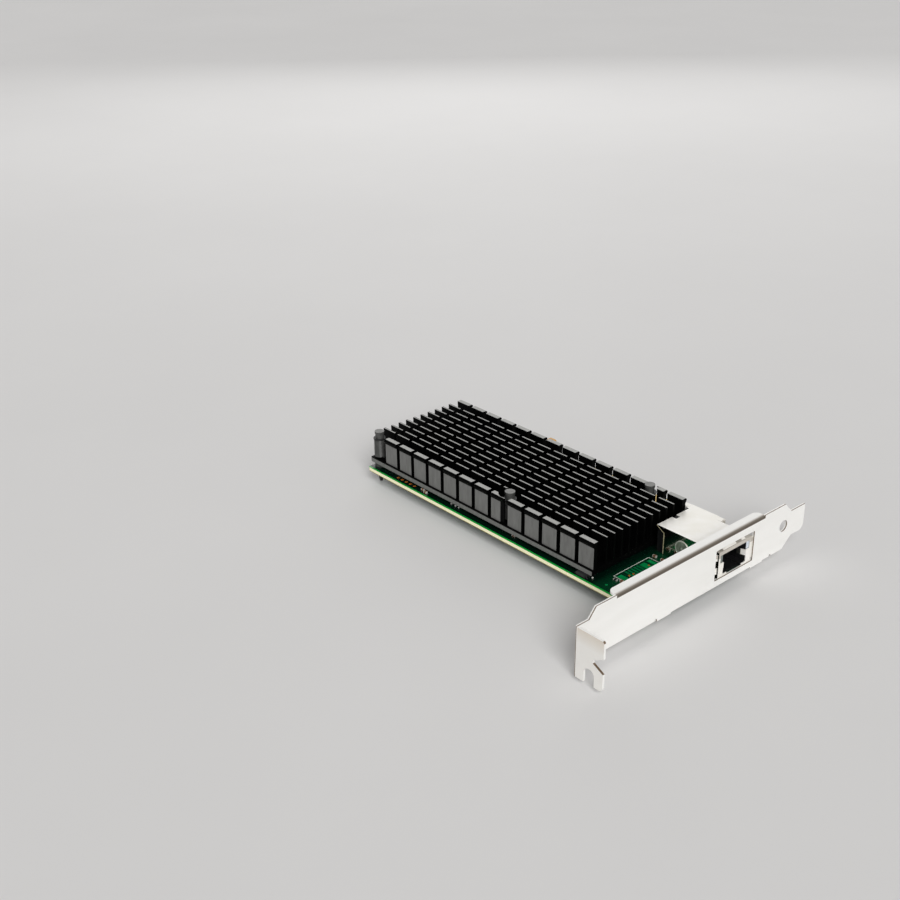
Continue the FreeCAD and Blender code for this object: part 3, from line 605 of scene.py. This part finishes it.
def coil(bm, x, y, z0, z1, radius, wire, sides=7, steps=22):
    """A close-wound coil between two heights."""
    pitch = wire * 1.04
    turns = (z1 - z0 - wire) / pitch
    total = int(turns * steps)
    rings = []
    for i in range(total + 1):
        angle = 2 * math.pi * i / steps
        z = z0 + wire / 2 + (z1 - z0 - wire) * i / total
        out = Vector((math.cos(angle), math.sin(angle), 0))
        ring = []
        for k in range(sides):
            turn = 2 * math.pi * k / sides
            place = out * (radius + wire / 2 * math.cos(turn))
            ring.append(bm.verts.new((x + place.x, y + place.y, z + wire / 2 * math.sin(turn))))
        rings.append(ring)
    close_form(bm, rings)


def ribbon(bm, points, width, low, high):
    """A raised line through points in plan, with mitred corners."""
    points = [Vector(p) for p in points]
    rings = []
    for i, point in enumerate(points):
        before = point - points[i - 1] if i else points[1] - point
        after = points[i + 1] - point if i < len(points) - 1 else before
        before = before.normalized()
        after = after.normalized()
        beside = Vector((-after.y, after.x))
        normal = (Vector((-before.y, before.x)) + beside).normalized()
        shift = normal * width / 2 / max(0.3, normal.dot(beside))
        left, right = point + shift, point - shift
        rings.append([bm.verts.new((p.x, p.y, z))
                      for p, z in ((left, low), (right, low), (right, high), (left, high))])
    close_form(bm, rings)


def slab(bm, low, high, bevel):
    """A block with its edges eased."""
    made = bmesh.ops.create_cube(bm, size=1.0)["verts"]
    for v in made:
        v.co = [low[k] + (v.co[k] + 0.5) * (high[k] - low[k]) for k in range(3)]
    edges = list({e for v in made for e in v.link_edges})
    bmesh.ops.bevel(bm, geom=edges, offset=bevel, segments=2, affect="EDGES")


# ---- places on the board ---------------------------------------------------
board_low, board_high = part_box("circuit_board")
package_low, package_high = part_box("controller_package")
shield_low, shield_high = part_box("jack_shield")
face = board_high[2]
back = board_low[2]


def from_corner(x, y):
    """Plan point from millimetres behind the board's bracket end and above its top edge."""
    return board_high[0] - x * MM, board_low[1] + y * MM


# ---- springs and chips -----------------------------------------------------
def spring_coils():
    """Wound wire in the place of each pin's plain sleeve."""
    bm = bmesh.new()
    wire = 0.5 * MM
    for low, high in islands("pin_springs"):
        coil(bm, (low.x + high.x) / 2, (low.y + high.y) / 2, low.z, high.z,
             (high.x - low.x) / 2 - wire / 2, wire)
    return finish_piece(bm, "spring_coils", spring_mat, smooth=True)


def chip_terminations():
    """Tinned caps over both ends of the small chips, a little proud of them."""
    bm = bmesh.new()
    grow = 0.02 * MM
    bare_share = 0.56           # of the length, between the caps
    for name in ("ceramic_capacitors", "chip_resistors", "solder_side_capacitors"):
        for low, high in islands(name):
            middle = (low.x + high.x) / 2
            length = high.x - low.x
            on_back = low.z < -1 * MM
            down = low.z - grow if on_back else low.z
            up = high.z if on_back else high.z + grow
            for sign in (-1, 1):
                inner = middle + sign * length / 2 * bare_share
                outer = middle + sign * (length / 2 + grow)
                slab(bm, (min(inner, outer), low.y - grow, down),
                     (max(inner, outer), high.y + grow, up), EASE)
    finish_piece(bm, "chip_terminations", tin_mat)


springs = spring_coils()
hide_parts("pin_springs")
chip_terminations()


# ---- board artwork ---------------------------------------------------------
def frame_line(bm, low, high, margin, width):
    """A printed rectangle round a box in plan."""
    x0, y0 = low[0] - margin, low[1] - margin
    x1, y1 = high[0] + margin, high[1] + margin
    corners = ((x0, y0), (x1, y0), (x1, y1), (x0, y1))
    for i in range(4):
        ribbon(bm, (corners[i - 1], corners[i]), width, face, face + SKIN)


def straight_lines(name, material, start, lines):
    """Copper under the mask: lines that stop short of the bracket, as (place, width) pairs."""
    bm = bmesh.new()
    for y, width in lines:
        ribbon(bm, (from_corner(start, y), from_corner(1.2, y)), width * MM, face, face + SKIN)
    finish_piece(bm, name, material)


def silkscreen_lines():
    """Outlines round the larger parts, and an open one between heatsink and bracket."""
    bm = bmesh.new()
    near, far = (25.1, 10.1), (25.3, 28.7)          # corners of the open one's closed end
    open_end = 19.5
    outline = ((open_end, near[1]), near, far, (open_end, far[1]))
    ribbon(bm, [from_corner(*place) for place in outline], 0.22 * MM, face, face + SKIN)
    for name in ("regulator_chips", "power_inductors", "crystal", "tall_capacitor"):
        for low, high in islands(name):
            is_body = high.z - low.z > 0.3 * MM and high.x - low.x > 2 * MM
            if is_body:
                frame_line(bm, low, high, 0.35 * MM, 0.15 * MM)
    finish_piece(bm, "silkscreen_lines", silk_mat)


def round_pad(bm, x, y, level, rise, radius, rim, segments=20):
    """A flat round pad that slopes down to its rim."""
    lathe(bm, x, y, [(HAIR, level + rise), (radius * MM, level + rise), (rim * MM, level)],
          segments)


def bare_pads():
    """Three pads between heatsink and bracket, and a row of five near the board's free end."""
    bm = bmesh.new()
    for x, y in ((21.7, 14.3), (21.5, 16.2), (21.7, 24.6)):
        round_pad(bm, *from_corner(x, y), face, 1.6 * SKIN, 0.42, 0.46)
    first_x, row_y, pitch = 16.3 * MM, 2.8 * MM, 2.54 * MM
    for i in range(5):
        x = board_low[0] + first_x + pitch * i
        round_pad(bm, x, board_low[1] + row_y, face, SKIN, 0.62, 0.66)
    finish_piece(bm, "bare_pads", copper_mat)


def capped_vias():
    """One via under the mask, between heatsink and bracket."""
    bm = bmesh.new()
    round_pad(bm, *from_corner(23.0, 4.0), face, SKIN, 0.4, 0.5)
    finish_piece(bm, "capped_vias", pour_mat)


def contact_leads():
    """Pairs of lines from the gold contacts towards the controller, on both sides."""
    bm = bmesh.new()
    middle = (package_low[0] + package_high[0]) / 2
    lean = 0.22                 # share of the way to the controller's middle
    straight = 2.2 * MM         # before the bend
    run_on = 7 * MM             # after it
    for name, z0, z1 in (("edge_contacts_front", face, face + SKIN),
                         ("edge_contacts_back", back - SKIN, back)):
        for i, (low, high) in enumerate(islands(name)):
            if i % 3 == 0:
                continue
            x = (low.x + high.x) / 2
            inward = x + (middle - x) * lean
            bend = low.y - (5.2 + 0.25 * (i % 6)) * MM
            ribbon(bm, ((x, low.y), (x, low.y - straight), (inward, bend),
                        (inward, bend - run_on)), 0.3 * MM, z0, z1)
    finish_piece(bm, "contact_leads", trace_mat)


def solder_side_vias():
    """A grid of vias under the controller, and others strewn clear of the jack."""
    bm = bmesh.new()
    margin, pitch = 3.5 * MM, 3 * MM
    for i in range(7):
        for j in range(7):
            round_pad(bm, package_low[0] + margin + pitch * i, package_low[1] + margin + pitch * j,
                      back, -SKIN, 0.4, 0.46, 12)
    clear = 2 * MM
    from_contacts = 19 * MM
    for _ in range(90):
        x = rng.uniform(board_low[0] + 4 * MM, board_high[0] - 8 * MM)
        y = rng.uniform(board_low[1] + 3 * MM, -from_contacts)
        if x > shield_low[0] - clear and y > shield_low[1] - clear:
            continue
        round_pad(bm, x, y, back, -SKIN, 0.28, 0.34, 10)
    finish_piece(bm, "solder_side_vias", pour_mat)


def strip_leads():
    """Leads of small parts, just under the heatsink's near edge."""
    bm = bmesh.new()
    half_x, half_y, height = 0.25 * MM, 0.3 * MM, 0.45 * MM
    for place in (103.1, 100.7, 98.8, 29.1):
        x, y = from_corner(place, 3.6)
        slab(bm, (x - half_x, y - half_y, face), (x + half_x, y + half_y, face + height), EASE)
    finish_piece(bm, "strip_leads", tin_mat)


def solder_fillets():
    """Solder that rises on the jack's tails, on the solder side."""
    bm = bmesh.new()
    outline = ((0.95, 0), (0.9, 0.05), (0.55, 0.3), (0.4, 0.75), (0.36, 0.9))
    for low, high in islands("jack_solder_pins"):
        lathe(bm, (low.x + high.x) / 2, (low.y + high.y) / 2,
              [(radius * MM, back - drop * MM) for radius, drop in outline], 16)
    finish_piece(bm, "solder_fillets", tin_mat, smooth=True)


silkscreen_lines()
straight_lines("copper_pours", pour_mat, 24.0, ((11.6, 2.2), (27.0, 1.6), (23.6, 2.6)))
straight_lines("copper_traces", trace_mat, 24.4, [(15.2 + 1.5 * i, 0.75) for i in range(5)])
bare_pads()
capped_vias()
contact_leads()
solder_side_vias()
strip_leads()
solder_fillets()

# ---- jack ------------------------------------------------------------------
jack_front = shield_high[0]
jack_rear = shield_low[0] + 1.2 * MM                    # the ledge runs past the main body
jack_top = face + JACK_TOP
wall_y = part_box("jack_housing")[0][1] - 0.35 * MM       # outer face of the near side wall
boss_x, boss_y, boss_z = jack_front - 16.0 * MM, wall_y - 0.15 * MM, 5.75 * MM


def boss_ring(bm, inner, outer, rise, count=40):
    """A low ring, or a disc, on the round boss of the jack's near wall."""
    rings = []
    ease = 0.06 * MM
    for radius, out in ((inner, 0), (inner + ease, rise), (outer - ease, rise), (outer, 0)):
        ring = []
        for i in range(count):
            turn = 2 * math.pi * i / count
            ring.append(bm.verts.new((boss_x + radius * math.cos(turn), boss_y - out,
                                      boss_z + radius * math.sin(turn))))
        rings.append(ring)
    join_rings(bm, rings)


def boss():
    """The boss's bright rim and centre mark, and its rough face."""
    bm = bmesh.new()
    boss_ring(bm, 2.62 * MM, 2.98 * MM, 0.07 * MM)
    boss_ring(bm, HAIR, 0.5 * MM, 0.05 * MM)
    finish_piece(bm, "boss_rim", boss_rim_mat, smooth=True)
    bm = bmesh.new()
    boss_ring(bm, HAIR, 2.66 * MM, 0.03 * MM)
    finish_piece(bm, "boss_face", boss_mat)


def shield_edge():
    """The near wall's bare cut edge, down its sloped rear corner."""
    bm = bmesh.new()
    width = 0.3 * MM
    near_y = wall_y - 0.05 * MM
    low_x = jack_rear + 3.2 * MM
    rings = []
    for x, z in ((jack_rear - 0.02 * MM, jack_top), (jack_rear, jack_top - 0.3 * MM),
                 (low_x, jack_top - 2.3 * MM), (low_x, face + 0.3 * MM)):
        inner_z = z - 0.3 * width
        rings.append([bm.verts.new(place) for place in
                      ((x, near_y, z), (x + width, near_y, inner_z), (x + width, wall_y, inner_z),
                       (x, wall_y, z))])
    close_form(bm, rings)
    finish_piece(bm, "shield_edge", edge_mat)


def shield_ledge():
    """The jack's side compartment, on to the flange and back beside the heatsink."""
    bm = bmesh.new()
    far = shield_high[1]
    beside_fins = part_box("heatsink")[1][1] + 0.4 * MM
    low, top = 0.2 * MM, jack_top - 0.09 * MM
    slab(bm, (jack_front - 17.2 * MM, far - 3.0 * MM, low), (jack_front - 13.6 * MM, far, top),
         0.25 * MM)
    slab(bm, (shield_low[0] - 3.0 * MM, beside_fins, low), (shield_low[0] + 0.5 * MM, far, top),
         0.25 * MM)

    # The finger strip at the far side of the bracket's cut-out.
    slab(bm, (jack_front - 2.2 * MM, far - 3.02 * MM, 1.6 * MM),
         (jack_front - 0.12 * MM, far - 2.06 * MM, jack_top - 0.6 * MM), 0.15 * MM)
    finish_piece(bm, "shield_ledge", shield_mat)


boss()
shield_edge()
shield_ledge()

# ---- stage -----------------------------------------------------------------
floor_mat = mottled("floor", (216, 215, 214), (220, 219, 218), 3.0, (0.85, 0.95))
floor_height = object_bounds()[0][2] - 0.2 * MM
bpy.ops.mesh.primitive_plane_add(size=8.0, location=(0, 0, floor_height))
floor = bpy.context.object
floor.name = "floor"
floor.data.materials.append(floor_mat)


def studio_sky():
    """Soft light all round, brighter near the horizon than overhead."""
    world = bpy.data.worlds.new("studio")
    bpy.context.scene.world = world
    world.use_nodes = True
    tree = world.node_tree
    sky = tree.nodes["Background"]
    coords = tree.nodes.new("ShaderNodeTexCoord")
    split = tree.nodes.new("ShaderNodeSeparateXYZ")
    tree.links.new(coords.outputs["Generated"], split.inputs["Vector"])
    fade = tree.nodes.new("ShaderNodeValToRGB")
    near, overhead = fade.color_ramp.elements
    near.position = 0.2
    near.color = (0.80, 0.80, 0.81, 1)
    overhead.position = 0.6
    overhead.color = (0.38, 0.375, 0.37, 1)
    tree.links.new(split.outputs["Z"], fade.inputs["Fac"])
    tree.links.new(fade.outputs["Color"], sky.inputs["Color"])
    sky.inputs["Strength"].default_value = 0.74


def lamp(name, kind, place, energy):
    """A lamp aimed at the card; gives its settings."""
    data = bpy.data.lights.new(name, kind)
    data.energy = energy
    made = bpy.data.objects.new(name, data)
    bpy.context.collection.objects.link(made)
    made.location = place
    aim = Vector((0, -0.05, 0)) - made.location
    made.rotation_euler = aim.to_track_quat("-Z", "Y").to_euler()
    return data


studio_sky()
key = lamp("key", "SUN", (0.99, -0.66, 0.88), 2.53)
key.angle = math.radians(34)
sweep = lamp("sweep", "AREA", (-0.75, 0.60, 0.45), 1.4)
sweep.shape = "RECTANGLE"
sweep.size, sweep.size_y = 0.9, 0.5

# ---- camera ----------------------------------------------------------------
camera_data = bpy.data.cameras.new("camera")
camera_data.sensor_width = 36.0
camera_data.lens = 50.52
camera_data.clip_start = 0.01
camera_data.clip_end = 20.0
camera = bpy.data.objects.new("camera", camera_data)
bpy.context.collection.objects.link(camera)
camera.location = (0.278280, -0.347647, 0.230460)
camera.rotation_euler = [math.radians(a) for a in (64.305282, 0.740283, 48.732044)]
bpy.context.scene.camera = camera
bpy.context.scene.view_settings.view_transform = "Standard"
